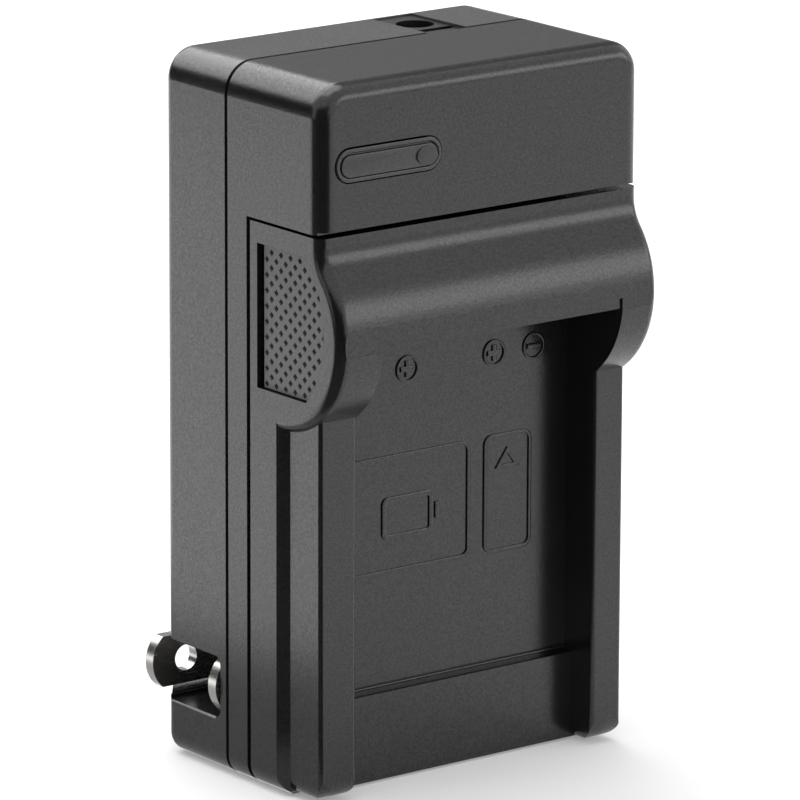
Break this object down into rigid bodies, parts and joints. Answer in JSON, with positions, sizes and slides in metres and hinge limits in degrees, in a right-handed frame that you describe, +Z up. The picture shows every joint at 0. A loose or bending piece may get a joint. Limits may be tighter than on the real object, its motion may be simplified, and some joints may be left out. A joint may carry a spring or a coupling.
{
  "type": "camera battery charger",
  "caption": "Upright black charger for flat camera batteries: swing-out two-blade plug, slide-on battery plate with side grips and leaf contacts, status light and low-voltage inlet.",
  "frame": {"origin": "middle of the width on the bottom, at the parting plane of the two housing shells", "axes": "+X right seen from the front, -Y out of the battery bay, +Z up"},
  "size_m": [0.0479, 0.0387, 0.0863],
  "materials": {
    "housing": "black moulded plastic with a fine grain",
    "plate": "black moulded plastic with a fine grain",
    "grip": "grey moulded lattice",
    "window": "smooth black",
    "led": "smoked clear",
    "inlet": "smooth black",
    "rotor": "satin black",
    "blade": "nickel plated",
    "steel": "plain",
    "spring_brass": "plain",
    "terminal": "plain",
    "contact": "plain",
    "board": "solder mask",
    "ferrite": "sintered",
    "winding_tape": "tape",
    "capacitor_sleeve": "shrunk sleeve",
    "chip_resin": "moulded resin",
    "fuse_body": "ceramic"
  },
  "bodies": {
    "housing": {"rear_shell": "housing", "front_shell": "housing", "indicator_window": "window", "status_led": "led", "dc_inlet": "inlet", "dc_inlet_pin": "steel", "pivot_pin": "steel", "line_spring": "spring_brass", "neutral_spring": "spring_brass", "circuit_board": "board", "transformer_core": "ferrite", "transformer_coil": "winding_tape", "input_capacitor": "capacitor_sleeve", "output_capacitor": "capacitor_sleeve", "bridge_rectifier": "chip_resin", "control_chip": "chip_resin", "fuse": "fuse_body", "terminal_left": "terminal", "terminal_middle": "terminal", "terminal_right": "terminal"},
    "plug": {"plug_rotor": "rotor", "plug_blade_inner": "blade", "plug_blade_outer": "blade"},
    "plate": {"charging_plate": "plate", "left_grip_pad": "grip", "right_grip_pad": "grip", "contact_left": "contact", "contact_middle": "contact", "contact_right": "contact"}
  },
  "joints": [
    {"name": "plug_swing", "type": "hinge", "parent": "housing", "child": "plug", "pos_m": [-0.0035, 0.0085, 0.0105], "axis": [0, 0, -1], "range_deg": [0, 90]},
    {"name": "plate_slide", "type": "slide", "parent": "housing", "child": "plate", "axis": [0, 0, -1], "range_m": [0, 0.07]}
  ]
}
